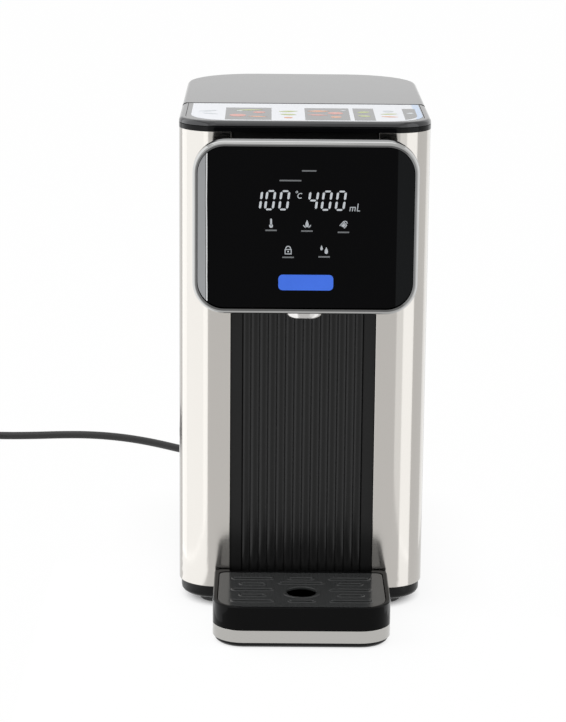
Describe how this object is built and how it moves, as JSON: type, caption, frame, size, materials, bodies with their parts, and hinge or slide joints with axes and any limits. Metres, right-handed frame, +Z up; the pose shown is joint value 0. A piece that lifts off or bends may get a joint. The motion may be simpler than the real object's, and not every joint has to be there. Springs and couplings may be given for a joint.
{
  "type": "countertop hot-water dispenser",
  "caption": "Countertop hot-water dispenser: steel wrap, touch panel on a projecting head, fluted front, rear tank under a lift-off cover and pull-out drip tray.",
  "frame": {"origin": "on the table, under the middle of the footprint of the machine with its drip tray, without the mains lead", "axes": "+X to the right when facing the touch panel, +Y to the rear, +Z up"},
  "size_m": [0.4788, 0.5593, 0.362],
  "materials": {
    "steel": "brushed stainless",
    "chrome": "polished",
    "silver": "satin silver",
    "gloss_black": "gloss",
    "cover_black": "gloss",
    "fluted_black": "semi-gloss, fluted",
    "skirt_black": "fine matt",
    "rubber": "matt",
    "touch_glass": "black back-painted glass",
    "print": "printed film",
    "grille_grey": "satin",
    "clear": "clear plastic",
    "white": "moulded",
    "silicone": "translucent silicone",
    "circuit": "circuit board",
    "aluminium": "extruded",
    "motor": "plated can",
    "black": "moulded",
    "brass": "turned",
    "heater_steel": "satin tube"
  },
  "bodies": {
    "body": {"steel_shell": "steel", "channel_panel": "fluted_black", "base_frame": "skirt_black", "bottom_plate": "black", "foot_front_left": "rubber", "foot_front_right": "rubber", "foot_rear_left": "rubber", "foot_rear_right": "rubber", "head_shell": "gloss_black", "head_bezel": "chrome", "touch_glass": "touch_glass", "display_module": "black", "display_board": "circuit", "spout_collar": "silver", "spout_nozzle": "silicone", "outlet_chamber": "white", "top_collar": "gloss_black", "top_deck": "cover_black", "deck_inlay": "print", "water_tank": "clear", "tank_strainer": "white", "float_guide": "white", "flow_meter": "white", "pump_bracket": "black", "pump_motor": "motor", "pump_head": "black", "heater_tube": "heater_steel", "heater_top_cap": "white", "heater_bottom_cap": "white", "heater_bracket": "black", "thermal_cutout": "black", "water_probe": "brass", "tank_hose": "silicone", "pump_hose": "silicone", "heater_hose": "silicone", "steam_hose": "silicone", "board_carrier": "white", "power_board": "circuit", "heat_sink": "aluminium", "terminal_block": "white", "inner_mains": "rubber", "display_cable": "black", "cord_gland": "rubber", "mains_cord": "rubber", "cord_coil": "rubber", "coil_tie": "black", "mains_plug": "black"},
    "tank_lid": {"tank_lid": "cover_black", "lid_liner": "white", "lid_seal": "silicone"},
    "drip_tray": {"tray_base": "skirt_black", "tray_band": "steel", "tray_body": "gloss_black"},
    "drip_grille": {"drip_grille": "grille_grey"},
    "tank_float": {"tank_float": "white"}
  },
  "joints": [
    {"name": "tank_lid_lift", "type": "slide", "parent": "body", "child": "tank_lid", "axis": [0, 0, 1], "range_m": [0, 0.06]},
    {"name": "drip_tray_pull", "type": "slide", "parent": "body", "child": "drip_tray", "axis": [0, -1, 0], "range_m": [0, 0.1]},
    {"name": "drip_grille_lift", "type": "slide", "parent": "drip_tray", "child": "drip_grille", "axis": [0, 0, 1], "range_m": [0, 0.04]},
    {"name": "tank_float_rise", "type": "slide", "parent": "body", "child": "tank_float", "axis": [0, 0, 1], "range_m": [0, 0.017]}
  ]
}
